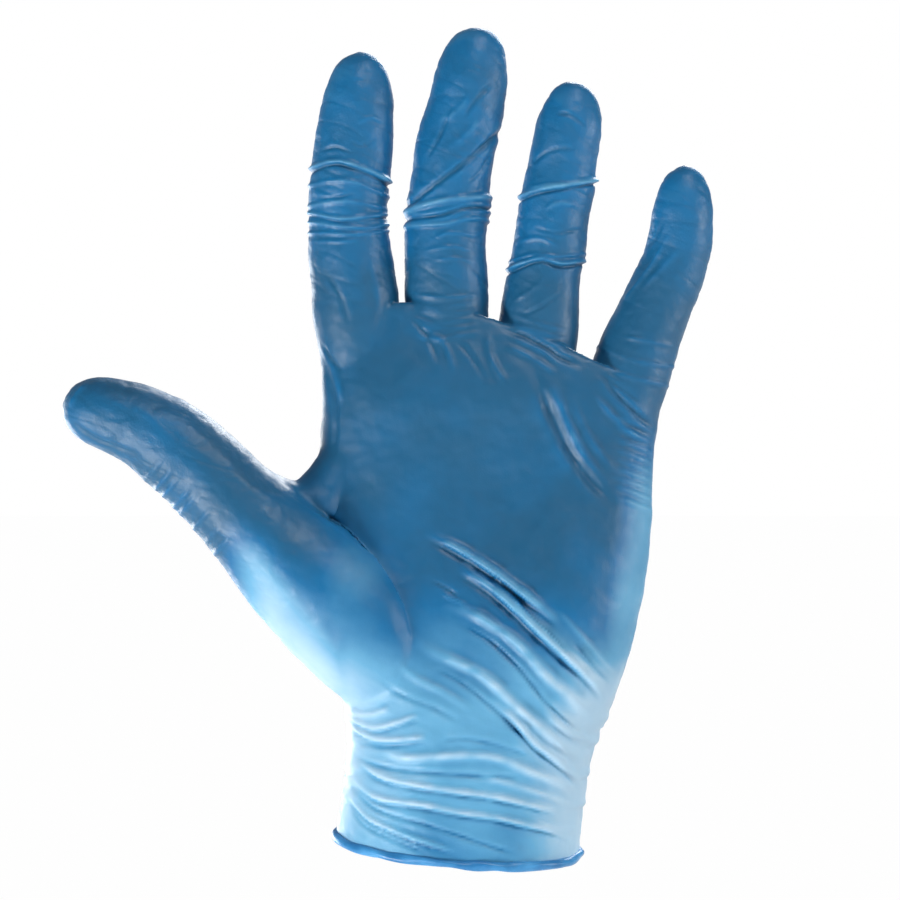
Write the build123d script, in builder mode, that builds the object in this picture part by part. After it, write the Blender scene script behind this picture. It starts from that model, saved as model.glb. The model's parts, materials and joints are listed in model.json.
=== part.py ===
"""A thin nitrile glove in the shape that it takes on a left hand, palm forward and fingers up.

Frame: millimetres, +Z from the cuff towards the fingers, the palm faces -Y and the thumb points to -X.
The origin is the middle of the cuff's opening. The film is one dipped skin. It is divided where the hand
bends it, so that each length that moves on its own is a solid of its own.
"""

import math
import os
from collections import namedtuple

from build123d import *

# Film and edges
FILM = 0.12  # thickness of the nitrile film
FLEX_GAP = 0.3  # clearance between two lengths at a flex line
BEAD_DIAMETER = 2.6  # the edge of the cuff, rolled up on itself
BEAD_GRIP = 0.5  # how far the film runs into the rolled edge

# Sizes
OPENING_BREADTH = 66.0  # the cuff's opening, measured across its film
OPENING_DEPTH = 48.5
WRIST_BREADTH = 67.8
WRIST_DEPTH = 44.5
HAND_DEPTH = 29.0  # from the palm to the back at the knuckles
CUFF_LENGTH = 29.0  # from the middle of the opening to the wrist's flex line
PALM_LENGTH = 121.0  # from the wrist's flex line to the top of the palm's skin
FINGER_LENGTH = 74.0  # the middle finger from its root's flex line to its tip
FINGER_BREADTH = 22.0  # the middle finger at its root
FINGER_DEPTH = 0.87  # a finger's depth over its breadth
THUMB_LENGTH = 56.5  # from the flex line at its root to its tip
THUMB_BREADTH = 26.0  # the thumb at its root
THUMB_DEPTH = 0.94
WEB_GAPS = (2.6, 3.5, 5.4)  # between neighbouring fingers at their roots, from the index finger
MIDDLE_ROOT = -3.0  # where the middle finger's root is along X
PALM_TO_FINGERS = 0.926  # the palm's breadth over the breadth of the row of finger roots

# The opening is cut at a slant: lower on the little finger's side and lower at the palm
RIM_ROLL = 4.3
RIM_PITCH = 7.0

# Outlines of the hand: height as a share of the cuff's or the palm's length, reach to the thumb's side and to
# the little finger's side as shares of the breadth there, reach to the palm, to the back and extra at the
# heel under the little finger as shares of the depth there, and how square the outline is
HandSection = namedtuple("HandSection", "height thumb little palm back heel squareness")
CUFF_SECTIONS = [
    HandSection(-0.31, 0.513, 0.499, 0.515, 0.507, 0.0, 2.1),
    HandSection(0.00, 0.500, 0.500, 0.505, 0.495, 0.0, 2.1),
    HandSection(0.35, 0.478, 0.514, 0.487, 0.482, 0.0, 2.1),
    HandSection(0.70, 0.457, 0.542, 0.475, 0.470, 0.0, 2.15),
]
WRIST_SECTION = HandSection(0.0, 0.439, 0.561, 0.506, 0.494, 0.0, 2.2)
PALM_SECTIONS = [
    HandSection(0.107, 0.363, 0.473, 0.710, 0.717, 0.06, 2.25),
    HandSection(0.256, 0.407, 0.533, 0.586, 0.662, 0.20, 2.35),
    HandSection(0.421, 0.434, 0.571, 0.500, 0.600, 0.16, 2.45),
    HandSection(0.587, 0.426, 0.580, 0.462, 0.545, 0.06, 2.5),
    HandSection(0.711, 0.407, 0.596, 0.448, 0.510, 0.02, 2.5),
    HandSection(0.818, 0.404, 0.621, 0.428, 0.483, 0.00, 2.4),
    HandSection(0.909, 0.413, 0.640, 0.386, 0.441, 0.00, 2.25),
    HandSection(1.000, 0.424, 0.650, 0.345, 0.386, 0.00, 2.1),
]
SECTION_POINTS = 28
HEEL_PLACE = 0.62  # where the heel is fullest, as a share of the reach to the little finger's side
HEEL_SPREAD = 0.42

# The line of the webs between the fingers: places across the breadth and heights over the wrist, as shares of
# the breadth and of the palm's length. The skin falls away behind each web towards the knuckles, from a line
# that lies in front of the middle of the hand by a share of its depth.
WEB_LINE = [
    (-0.560, 0.870),
    (-0.360, 0.960),
    (-0.168, 0.983),
    (0.110, 0.942),
    (0.379, 0.855),
    (0.540, 0.790),
    (0.720, 0.640),
]
WEB_FALL = 0.45
WEB_FRONT = 0.36

# A finger or the thumb. Height: where its root's flex line is, as a share of the palm's length. Lengths:
# shares of the overall length. Leans: degrees from upright towards the little finger. Tilts: degrees towards
# the palm. Breadths: shares of the overall breadth, at the root, at each flex line and at the pad. Dome:
# length of the rounded tip over the pad's breadth. Turn: how far the pad turns from the palm's front to the
# index finger. Flex lean: lean of the plane in which it bends.
Limb = namedtuple("Limb", "height lengths leans tilts breadths dome turn flex_lean")
FINGERS = {
    "index": Limb(
        height=1.000,
        lengths=(0.272, 0.299, 0.326),
        leans=(-6.3, 4.4, 4.8),
        tilts=(1.0, 4.0, 7.0),
        breadths=(1.035, 0.970, 0.945, 0.865),
        dome=0.68,
        turn=0.0,
        flex_lean=0.0,
    ),
    "middle": Limb(
        height=0.997,
        lengths=(0.312, 0.323, 0.365),
        leans=(0.0, 9.7, 8.6),
        tilts=(1.0, 4.0, 7.0),
        breadths=(1.000, 1.000, 0.925, 0.880),
        dome=0.62,
        turn=0.0,
        flex_lean=5.0,
    ),
    "ring": Limb(
        height=0.950,
        lengths=(0.220, 0.274, 0.382),
        leans=(8.5, 9.1, 6.9),
        tilts=(1.0, 4.0, 7.0),
        breadths=(0.970, 0.880, 0.860, 0.790),
        dome=0.62,
        turn=0.0,
        flex_lean=7.0,
    ),
    "little": Limb(
        height=0.872,
        lengths=(0.201, 0.229, 0.290),
        leans=(24.0, 18.6, 6.2),
        tilts=(2.0, 5.0, 8.0),
        breadths=(0.935, 0.845, 0.790, 0.700),
        dome=0.64,
        turn=0.0,
        flex_lean=14.0,
    ),
}
ROOT_INSET = 0.24  # a finger's skin starts this far down in the palm, as a share of the finger's length
ROOT_TAPER = 0.86  # and is this much narrower there, so that it starts inside the palm
ROOT_LEAN = 0.6  # and leans this much of the way to the finger's own lean
THUMB = Limb(
    height=0.521,
    lengths=(0.489, 0.511),
    leans=(-46.5, -70.0),
    tilts=(2.0, 2.0),
    breadths=(1.000, 0.925, 0.750),
    dome=0.50,
    turn=45.0,
    flex_lean=-50.0,
)
THUMB_ROOT = (-0.648, -0.41)  # place of its root as shares of the palm's breadth and the hand's depth
# The ball of the thumb, from its middle outwards: place as shares of the palm's breadth, the depth and the
# palm's length, and its breadth as a share of the thumb's
BALL_SECTIONS = [
    ((-0.143, -0.07, 0.124), 1.10),
    ((-0.308, -0.21, 0.258), 1.32),
    ((-0.484, -0.33, 0.397), 1.20),
]

DOME_STEPS = (20.0, 38.0, 54.0, 67.0, 77.0, 84.0)  # degrees round a rounded tip, up to its small flat end

root_breadths = [finger.breadths[0] * FINGER_BREADTH for finger in FINGERS.values()]
palm_breadth = PALM_TO_FINGERS * (sum(root_breadths) + sum(WEB_GAPS))
pitches = [(one + two) / 2 + gap for one, two, gap in zip(root_breadths, root_breadths[1:], WEB_GAPS)]
finger_places = {
    "index": MIDDLE_ROOT - pitches[0],
    "middle": MIDDLE_ROOT,
    "ring": MIDDLE_ROOT + pitches[1],
    "little": MIDDLE_ROOT + pitches[1] + pitches[2],
}

rim_plane = Plane.XY.rotated((RIM_PITCH, RIM_ROLL, 0))
wrist_plane = Plane.XY.offset(CUFF_LENGTH)


def direction(lean, tilt):
    """Unit vector of a centre line that leans and tilts by these angles."""
    lean, tilt = math.radians(lean), math.radians(tilt)
    return Vector(math.sin(lean) * math.cos(tilt), -math.sin(tilt), math.cos(lean) * math.cos(tilt))


def flex_axis(lean, turn):
    """Unit vector of the line that a limb bends about, from its bending plane's lean and its pad's turn."""
    lean, turn = math.radians(lean), math.radians(turn)
    level = Vector(math.cos(lean), 0, -math.sin(lean))
    return level * math.cos(turn) + Vector(0, 1, 0) * math.sin(turn)


def place(shares):
    """Point from shares of the breadth, the depth and the palm's length over the wrist."""
    x, y, z = shares
    return Vector(x * palm_breadth, y * HAND_DEPTH, CUFF_LENGTH + z * PALM_LENGTH)


def hand_outline(section, breadth, depth, wall):
    """Closed outline of the hand on the current plane, taken in by a wall."""
    points = []
    for step in range(SECTION_POINTS):
        angle = 2 * math.pi * step / SECTION_POINTS
        cosine, sine = math.cos(angle), math.sin(angle)
        power = 2 / section.squareness
        across = math.copysign(abs(cosine) ** power, cosine)
        reach_x = (section.little if cosine > 0 else section.thumb) * breadth - wall
        reach_y = (section.back if sine > 0 else section.palm) * depth - wall
        if sine < 0:
            reach_y += section.heel * depth * math.exp(-(((across - HEEL_PLACE) / HEEL_SPREAD) ** 2))
        points.append((across * reach_x, math.copysign(reach_y * abs(sine) ** power, sine)))
    Spline(*points, periodic=True)


def hand_skin(wall):
    """Solid of the cuff and the palm up to the line of the webs, taken in by a wall."""
    outlines = [(s.height * CUFF_LENGTH, s, OPENING_BREADTH, OPENING_DEPTH) for s in CUFF_SECTIONS]
    outlines += [(CUFF_LENGTH, WRIST_SECTION, WRIST_BREADTH, WRIST_DEPTH)]
    outlines += [(CUFF_LENGTH + s.height * PALM_LENGTH, s, palm_breadth, HAND_DEPTH) for s in PALM_SECTIONS]
    with BuildPart() as skin:
        for height, section, breadth, depth in outlines:
            with BuildSketch(Plane.XY.offset(height)):
                with BuildLine():
                    hand_outline(section, breadth, depth, wall)
                make_face()
        loft()
        add(above_webs(wall), mode=Mode.SUBTRACT)
    return skin.part


def above_webs(wall):
    """Solid of the space above the line of the webs, brought down by a wall."""
    reach = 2 * HAND_DEPTH
    top = CUFF_LENGTH + 2 * PALM_LENGTH
    with BuildPart() as space:
        for side in (-1, 1):
            drop = WEB_FALL * (side * reach + WEB_FRONT * HAND_DEPTH) + wall
            edge = [(x * palm_breadth, CUFF_LENGTH + z * PALM_LENGTH - drop) for x, z in WEB_LINE]
            with BuildSketch(Plane((0, side * reach, 0), x_dir=(1, 0, 0), z_dir=(0, -1, 0))):
                with BuildLine():
                    Spline(*edge)
                    Polyline(
                        edge[-1],
                        (palm_breadth, edge[-1][1]),
                        (palm_breadth, top),
                        (-palm_breadth, top),
                        (-palm_breadth, edge[0][1]),
                        edge[0],
                    )
                make_face()
        loft(ruled=True)
    return space.part


def joints_of(limb, root, length):
    """Centre-line points of a limb: its root, its flex lines and its tip."""
    points = [root]
    for share, lean, tilt in zip(limb.lengths, limb.leans, limb.tilts):
        points.append(points[-1] + direction(lean, tilt) * (share * length))
    return points


def between(values, share):
    """Value at a share of the way along evenly counted values, with soft steps."""
    step = min(int(share), len(values) - 2)
    part = share - step
    part = part * part * (3 - 2 * part) * 0.5 + part * 0.5
    return values[step] + (values[step + 1] - values[step]) * part


def limb_sections(start_points, start_halves, limb, root, length, breadth, depth, wall):
    """Cross-sections of a limb from inside the palm to its tip: plane, half-breadth and half-depth."""
    points = joints_of(limb, root, length)
    halves = [share * breadth / 2 for share in limb.breadths]
    along = direction(limb.leans[-1], limb.tilts[-1])
    dome = limb.dome * 2 * halves[-1]
    pad = points[-1] - along * dome
    stops = start_points + points[:-1] + [pad]
    halves = start_halves + halves
    centre = Spline(*stops, tangents=[stops[1] - stops[0], along])
    knots = [centre.param_at_point(stop) for stop in stops]
    sections = []
    for step in range(len(stops) - 1):
        for part in (0.0, 0.5):
            share = knots[step] + (knots[step + 1] - knots[step]) * part
            sections.append((centre @ share, centre % share, between(halves, step + part)))
    sections.append((pad, along, halves[-1]))
    result = []
    for at, normal, half in sections:
        axis = flex_axis(math.degrees(math.atan2(normal.X, normal.Z)), limb.turn)
        result.append((Plane(at, x_dir=axis, z_dir=normal), half - wall, half * depth - wall))
    for degrees in DOME_STEPS:
        angle = math.radians(degrees)
        at = pad + along * ((dome - wall) * math.sin(angle))
        plane = Plane(at, x_dir=flex_axis(limb.leans[-1], limb.turn), z_dir=along)
        shrink = math.cos(angle)
        result.append((plane, (halves[-1] - wall) * shrink, (halves[-1] * depth - wall) * shrink))
    return result


def limb_skin(sections):
    """Solid lofted through cross-sections."""
    with BuildPart() as skin:
        for plane, half_breadth, half_depth in sections:
            with BuildSketch(plane):
                Ellipse(half_breadth, half_depth)
        loft()
    return skin.part


def finger_root(name):
    """Middle of the flex line at a finger's root."""
    return Vector(finger_places[name], 0, CUFF_LENGTH + FINGERS[name].height * PALM_LENGTH)


def finger_skin(name, wall):
    """Solid of a whole finger down into the palm, taken in by a wall."""
    finger = FINGERS[name]
    root = finger_root(name)
    start = root - direction(finger.leans[0] * ROOT_LEAN, 0) * (ROOT_INSET * FINGER_LENGTH)
    half = ROOT_TAPER * finger.breadths[0] * FINGER_BREADTH / 2
    return limb_skin(
        limb_sections([start], [half], finger, root, FINGER_LENGTH, FINGER_BREADTH, FINGER_DEPTH, wall)
    )


def thumb_skin(wall):
    """Solid of the ball of the thumb and the thumb, taken in by a wall."""
    points = [place(shares) for shares, share in BALL_SECTIONS]
    halves = [share * THUMB_BREADTH / 2 for shares, share in BALL_SECTIONS]
    return limb_skin(
        limb_sections(points, halves, THUMB, thumb_root, THUMB_LENGTH, THUMB_BREADTH, THUMB_DEPTH, wall)
    )


def flex_planes(limb, root, length, breadth, depth):
    """Plane of each flex line. Its origin is on the pad's side of the skin and its X along the flex line."""
    points = joints_of(limb, root, length)
    along = [direction(lean, tilt) for lean, tilt in zip(limb.leans, limb.tilts)]
    normals = [along[0]] + [(before + after).normalized() for before, after in zip(along, along[1:])]
    planes = []
    for at, normal, share in zip(points, normals, limb.breadths):
        axis = flex_axis(limb.flex_lean, limb.turn)
        square = (normal - axis * normal.dot(axis)).normalized()
        pad_side = square.cross(axis) * (-share * breadth / 2 * depth)
        planes.append(Plane(at + pad_side, x_dir=axis, z_dir=square))
    return planes


thumb_root = place((*THUMB_ROOT, THUMB.height))
finger_cuts = {
    name: flex_planes(finger, finger_root(name), FINGER_LENGTH, FINGER_BREADTH, FINGER_DEPTH)
    for name, finger in FINGERS.items()
}
thumb_cuts = flex_planes(THUMB, thumb_root, THUMB_LENGTH, THUMB_BREADTH, THUMB_DEPTH)

finger_outsides = {name: finger_skin(name, 0) for name in FINGERS}
finger_insides = {name: finger_skin(name, FILM) for name in FINGERS}
thumb_outside = thumb_skin(0)
thumb_inside = thumb_skin(FILM)
hand_outside = hand_skin(0)
hand_inside = hand_skin(FILM)

os.makedirs("parts", exist_ok=True)

# The cuff, from the opening to the wrist's flex line
with BuildPart() as cuff:
    add(hand_outside)
    add(hand_inside, mode=Mode.SUBTRACT)
    split(bisect_by=wrist_plane.offset(-FLEX_GAP / 2), keep=Keep.BOTTOM)
    split(bisect_by=rim_plane.offset(BEAD_DIAMETER / 2 - BEAD_GRIP), keep=Keep.TOP)
cuff.part.label = "cuff"
export_step(cuff.part, "parts/cuff.step")

# The rolled edge: a solid ring, because the film is rolled up while it is still a gel
with BuildPart() as rolled_bead:
    with BuildLine(rim_plane) as rim:
        hand_outline(CUFF_SECTIONS[1], OPENING_BREADTH, OPENING_DEPTH, FILM / 2)
    with BuildSketch(Plane(rim.line @ 0, z_dir=rim.line % 0)):
        Circle(BEAD_DIAMETER / 2)
    sweep(path=rim.line)
    add(cuff.part, mode=Mode.SUBTRACT)
rolled_bead.part.label = "rolled_bead"
export_step(rolled_bead.part, "parts/rolled_bead.step")


def below(skin, cut):
    """Part of a skin on the palm's side of a flex line."""
    with BuildPart() as piece:
        add(skin)
        split(bisect_by=cut.offset(-FLEX_GAP / 2), keep=Keep.BOTTOM)
    return piece.part


# The palm, the back of the hand and the roots of the fingers, open where the ball of the thumb joins on
with BuildPart() as hand_shell:
    add(hand_outside)
    for name in FINGERS:
        add(below(finger_outsides[name], finger_cuts[name][0]))
    add(hand_inside, mode=Mode.SUBTRACT)
    add(thumb_inside, mode=Mode.SUBTRACT)
    for name in FINGERS:
        add(finger_insides[name], mode=Mode.SUBTRACT)
    split(bisect_by=wrist_plane.offset(FLEX_GAP / 2), keep=Keep.TOP)
hand_shell.part.label = "hand_shell"
export_step(hand_shell.part, "parts/hand_shell.step")

# The ball of the thumb, from the hand's side to the thumb's flex line
with BuildPart() as thumb_ball:
    add(below(thumb_outside, thumb_cuts[0]))
    add(thumb_inside, mode=Mode.SUBTRACT)
    add(hand_outside, mode=Mode.SUBTRACT)
thumb_ball.part.label = "thumb_ball"
export_step(thumb_ball.part, "parts/thumb_ball.step")

# The thumb's stall: a tube up to its flex line, and a closed tip
with BuildPart() as thumb_stall_lower:
    add(thumb_outside)
    add(thumb_inside, mode=Mode.SUBTRACT)
    split(bisect_by=thumb_cuts[0].offset(FLEX_GAP / 2), keep=Keep.TOP)
    split(bisect_by=thumb_cuts[1].offset(-FLEX_GAP / 2), keep=Keep.BOTTOM)
thumb_stall_lower.part.label = "thumb_stall_lower"
export_step(thumb_stall_lower.part, "parts/thumb_stall_lower.step")

with BuildPart() as thumb_stall_tip:
    add(thumb_outside)
    add(thumb_inside, mode=Mode.SUBTRACT)
    split(bisect_by=thumb_cuts[1].offset(FLEX_GAP / 2), keep=Keep.TOP)
thumb_stall_tip.part.label = "thumb_stall_tip"
export_step(thumb_stall_tip.part, "parts/thumb_stall_tip.step")

# The fingers' stalls: two tubes and a closed tip each
for name in FINGERS:
    root_cut, middle_cut, tip_cut = finger_cuts[name]
    with BuildPart() as stall_lower:
        add(finger_outsides[name])
        add(finger_insides[name], mode=Mode.SUBTRACT)
        split(bisect_by=root_cut.offset(FLEX_GAP / 2), keep=Keep.TOP)
        split(bisect_by=middle_cut.offset(-FLEX_GAP / 2), keep=Keep.BOTTOM)
    stall_lower.part.label = f"{name}_stall_lower"
    export_step(stall_lower.part, f"parts/{name}_stall_lower.step")

    with BuildPart() as stall_middle:
        add(finger_outsides[name])
        add(finger_insides[name], mode=Mode.SUBTRACT)
        split(bisect_by=middle_cut.offset(FLEX_GAP / 2), keep=Keep.TOP)
        split(bisect_by=tip_cut.offset(-FLEX_GAP / 2), keep=Keep.BOTTOM)
    stall_middle.part.label = f"{name}_stall_middle"
    export_step(stall_middle.part, f"parts/{name}_stall_middle.step")

    with BuildPart() as stall_tip:
        add(finger_outsides[name])
        add(finger_insides[name], mode=Mode.SUBTRACT)
        split(bisect_by=tip_cut.offset(FLEX_GAP / 2), keep=Keep.TOP)
    stall_tip.part.label = f"{name}_stall_tip"
    export_step(stall_tip.part, f"parts/{name}_stall_tip.step")
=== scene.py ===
# %% [markdown]
# # A thin nitrile glove
# The glove is one dipped skin of blue nitrile with a rolled edge at the cuff. It keeps the shape of a
# left hand: palm forward, fingers up and spread, thumb stretched out. The film is a tenth of a millimetre
# thick, so its look comes from three things: the full shape of the hand under it, the folds where there
# is too much film, and the satin surface. The lesson takes them in that order.

# %% Load the frame
import json
import math

import bpy
import numpy as np
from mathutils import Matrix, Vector, noise


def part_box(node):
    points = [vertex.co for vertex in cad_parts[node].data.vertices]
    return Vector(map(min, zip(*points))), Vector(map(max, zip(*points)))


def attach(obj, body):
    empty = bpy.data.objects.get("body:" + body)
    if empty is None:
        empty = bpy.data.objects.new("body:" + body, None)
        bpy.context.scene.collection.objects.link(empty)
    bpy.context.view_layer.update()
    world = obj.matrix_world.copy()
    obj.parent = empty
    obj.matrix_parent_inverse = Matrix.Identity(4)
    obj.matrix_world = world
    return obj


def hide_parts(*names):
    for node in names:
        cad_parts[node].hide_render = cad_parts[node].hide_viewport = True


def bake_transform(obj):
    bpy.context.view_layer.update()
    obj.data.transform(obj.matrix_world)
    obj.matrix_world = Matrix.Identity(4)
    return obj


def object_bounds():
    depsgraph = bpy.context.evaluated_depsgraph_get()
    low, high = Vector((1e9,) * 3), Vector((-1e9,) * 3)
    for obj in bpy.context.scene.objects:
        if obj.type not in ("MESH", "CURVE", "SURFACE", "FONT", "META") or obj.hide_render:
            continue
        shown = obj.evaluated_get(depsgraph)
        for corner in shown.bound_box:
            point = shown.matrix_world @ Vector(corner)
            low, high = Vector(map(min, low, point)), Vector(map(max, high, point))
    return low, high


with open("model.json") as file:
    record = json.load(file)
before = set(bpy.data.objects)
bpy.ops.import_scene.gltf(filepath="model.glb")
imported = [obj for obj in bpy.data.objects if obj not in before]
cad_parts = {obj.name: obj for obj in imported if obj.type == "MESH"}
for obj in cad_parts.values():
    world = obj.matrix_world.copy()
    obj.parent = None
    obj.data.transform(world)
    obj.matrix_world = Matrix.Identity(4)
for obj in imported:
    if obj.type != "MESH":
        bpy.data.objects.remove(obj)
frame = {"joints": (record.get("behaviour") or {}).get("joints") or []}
cad_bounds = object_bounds()
MM = 0.001

# %% [markdown]
# The frame holds the flex lines of the glove as joints. They say where each finger leaves the palm and
# where it bends, so the film is cut by them later on. The lengths here are in millimetres, as a
# glove maker writes them, and every mesh is in metres.

# %% Places read from the frame
joints = {joint["name"]: joint for joint in frame["joints"]}
FINGERS = ("index", "middle", "ring", "little")


def flex_point(name):
    """Place of a flex line on the pad's side of the film, in millimetres."""
    return np.array(joints[name]["pos_m"]) / MM


def node_box(name):
    """Lowest and highest corner of a CAD node, in millimetres."""
    low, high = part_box(name)
    return np.array(low) / MM, np.array(high) / MM


glove_low, glove_high = (np.array(corner) / MM for corner in cad_bounds)
wrist_height = flex_point("wrist_flex")[2]
print("glove", (glove_high - glove_low).round(1), "mm, wrist at", round(wrist_height, 1))

# %% [markdown]
# ## The hand under the film
# A former, the white porcelain hand that is dipped in the factory, is the easiest way to think of the
# glove's shape. Each finger is a tube along a curve whose points carry a radius, because a finger swells
# and narrows along its length. The palm is a cylinder, cut into rings and wrapped round an outline that
# changes with the height. A voxel remesh then fuses the seven pieces, and smoothing turns the sharp lines
# between them into webs.

# %% Helpers for working by hand
def pick(*things):
    """Selects only these objects, the first one active."""
    if bpy.context.object and bpy.context.object.mode != "OBJECT":
        bpy.ops.object.mode_set(mode="OBJECT")
    bpy.ops.object.select_all(action="DESELECT")
    for thing in things:
        thing.select_set(True)
    bpy.context.view_layer.objects.active = things[0]


def apply_modifier(thing, kind, **settings):
    """Adds a modifier with these settings and applies it."""
    pick(thing)
    modifier = thing.modifiers.new(kind.lower(), kind)
    for key, value in settings.items():
        setattr(modifier, key, value)
    bpy.ops.object.modifier_apply(modifier=modifier.name)


def corners(thing):
    """Places of a mesh's vertices as an array, in millimetres."""
    flat = np.empty(len(thing.data.vertices) * 3)
    thing.data.vertices.foreach_get("co", flat)
    return flat.reshape(-1, 3) / MM


def set_corners(thing, places):
    """Puts a mesh's vertices at these places, in millimetres."""
    thing.data.vertices.foreach_set("co", (places * MM).ravel())
    thing.data.update()


def outward(thing):
    """Outward direction at each vertex."""
    flat = np.empty(len(thing.data.vertices) * 3)
    thing.data.vertices.foreach_get("normal", flat)
    return flat.reshape(-1, 3)


def soft_step(low, high, value):
    """0 below low, 1 above high, and a smooth rise between them."""
    share = np.clip((value - low) / (high - low), 0.0, 1.0)
    return share * share * (3 - 2 * share)


# %% A stall as a tube along a curve
FINGER_DEPTH = 0.87  # depth over breadth
TIP_FORWARD = 5.0  # a finger curls this far forward at its tip


def tube(name, stations):
    """Closed tube through stations of (x, y, z, half-breadth)."""
    curve = bpy.data.curves.new(name, "CURVE")
    curve.dimensions = "3D"
    curve.bevel_depth = 1.0 * MM
    curve.bevel_resolution = 11
    curve.use_fill_caps = True
    curve.resolution_u = 6
    spline = curve.splines.new("NURBS")
    spline.points.add(len(stations) - 1)
    for point, (x, y, z, half) in zip(spline.points, stations):
        point.co = (x * MM, y * MM, z * MM, 1.0)
        point.radius = half
    spline.order_u = 3
    spline.use_endpoint_u = True
    thing = bpy.data.objects.new(name, curve)
    bpy.context.collection.objects.link(thing)
    pick(thing)
    bpy.ops.object.convert(target="MESH")
    return thing


# Stations up a finger: place across, height and half-breadth
FINGER_STATIONS = {
    "index": [
        (-27.0, 132, 9.6), (-27.8, 141, 11.5), (-28.0, 150, 11.6), (-28.9, 156, 11.3), (-29.6, 162, 11.1),
        (-30.0, 168, 10.8), (-30.3, 174, 10.4), (-30.0, 179, 10.75), (-29.2, 185, 10.75), (-28.5, 191, 10.6),
        (-27.9, 197, 10.15), (-27.2, 203, 9.5), (-26.9, 208, 8.4), (-26.7, 212, 6.8), (-26.6, 215.3, 4.4),
        (-26.5, 216.4, 0.3),
    ],
    "middle": [
        (-2.6, 132, 9.6), (-2.9, 141, 10.9), (-3.0, 150, 11.2), (-3.3, 157, 11.0), (-3.5, 164, 10.8),
        (-3.2, 170, 11.0), (-2.3, 175.5, 11.2), (-2.1, 181, 10.5), (-1.3, 187, 10.7), (-0.1, 193, 10.6),
        (1.6, 199, 10.35), (2.8, 205, 10.0), (3.9, 211, 9.6), (4.7, 216, 8.5), (4.7, 219.5, 6.9),
        (4.5, 222.2, 4.2), (4.4, 223.0, 0.3),
    ],
    "ring": [
        (20.6, 126, 9.4), (21.6, 136, 10.8), (22.3, 144, 10.7), (23.0, 151, 10.1), (23.8, 157, 9.6),
        (25.0, 162.5, 9.8), (25.5, 168, 9.4), (26.3, 174, 9.5), (27.9, 180, 9.7), (28.5, 186, 8.9),
        (29.5, 192, 8.8), (30.6, 197, 8.75), (31.1, 201.5, 7.7), (31.0, 205, 6.0), (30.8, 207.6, 3.6),
        (30.8, 208.3, 0.3),
    ],
    "little": [
        (44.4, 117, 10.0), (46.4, 126.5, 10.6), (49.0, 134.5, 10.5), (51.6, 141, 9.7), (54.4, 147.5, 9.4),
        (57.2, 153.8, 9.1), (59.6, 159.5, 8.55), (60.9, 165, 8.7), (61.3, 170.5, 8.3), (61.7, 175.8, 7.6),
        (61.8, 180.3, 6.3), (61.7, 184.0, 3.9), (61.6, 185.6, 0.3),
    ],
}


def finger_form(name):
    """A finger as a tube that is flatter than it is broad and curls forward a little."""
    stations = FINGER_STATIONS[name]
    thing = tube(f"{name}_form", [(x, 0.0, z, half) for x, z, half in stations])
    places = corners(thing)
    low, high = stations[2][1], stations[-1][1]
    share = np.clip((places[:, 2] - low) / (high - low), 0, 1)
    places[:, 1] = places[:, 1] * FINGER_DEPTH - TIP_FORWARD * share**1.4
    set_corners(thing, places)
    return thing


# The thumb from inside the palm outwards: place, depth place, height and half-breadth
THUMB_STATIONS = [
    (-6.0, -1.0, 36, 11.5), (-15.0, -2.5, 46, 14.8), (-25.0, -5.0, 56.5, 16.6), (-35.0, -7.5, 67, 16.8),
    (-45.0, -9.5, 77, 15.6), (-53.0, -11.0, 85.5, 13.9), (-59.5, -11.8, 92.3, 12.8),
    (-66.0, -12.2, 99.2, 12.2), (-72.5, -12.5, 105.4, 12.2), (-78.5, -12.8, 110.3, 11.9),
    (-84.0, -13.0, 113.8, 10.8), (-89.5, -13.2, 116.3, 10.2), (-95.0, -13.4, 118.0, 9.7),
    (-99.8, -13.6, 119.3, 8.6), (-103.3, -13.7, 120.1, 6.6), (-105.7, -13.8, 120.6, 4.0),
    (-106.6, -13.8, 120.8, 0.3),
]

# The hand and cuff: height, reach to the thumb's side, to the little finger's side, to the palm, to the
# back, extra at the heel under the little finger, and how square the outline is
HAND_LEVELS = [
    (-6.0, 33.6, 32.6, 24.9, 24.6, 0.0, 2.10), (0.0, 33.1, 33.0, 24.5, 24.0, 0.0, 2.10),
    (6.0, 32.7, 33.5, 23.9, 23.6, 0.0, 2.10), (14.0, 31.2, 34.7, 23.5, 23.2, 0.0, 2.12),
    (22.0, 30.1, 35.7, 23.0, 22.7, 0.3, 2.15), (30.0, 29.6, 38.3, 22.3, 22.0, 0.7, 2.20),
    (40.0, 31.0, 42.4, 20.9, 21.0, 1.6, 2.25), (50.0, 34.5, 46.0, 18.9, 20.0, 4.0, 2.30),
    (60.0, 36.5, 48.6, 17.0, 19.2, 5.6, 2.35), (70.0, 38.2, 50.6, 15.6, 18.3, 5.4, 2.40),
    (80.0, 38.8, 52.0, 14.6, 17.4, 4.4, 2.45), (90.0, 38.9, 52.8, 13.9, 16.6, 3.0, 2.48),
    (100.0, 38.6, 52.8, 13.4, 15.8, 1.6, 2.50), (110.0, 37.3, 53.5, 13.1, 15.1, 0.8, 2.50),
    (120.0, 36.7, 55.2, 12.8, 14.5, 0.2, 2.48), (130.0, 37.0, 57.0, 11.5, 13.4, 0.0, 2.40),
    (140.0, 38.2, 59.5, 9.4, 11.4, 0.0, 2.25), (152.0, 39.2, 61.0, 7.2, 9.0, 0.0, 2.10),
]
HEEL_PLACE = 0.62
HEEL_SPREAD = 0.42
PALM_SIDES = 96
PALM_RINGS = 78

# Points of the webs between the fingers, and how much lower the skin lies behind them
WEBS = [(-38.5, 145.0), (-15.4, 149.0), (9.8, 144.0), (34.3, 133.6), (64.0, 116.0)]
WEB_FALL = 0.42
WEB_DEPTH = -9.0


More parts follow.
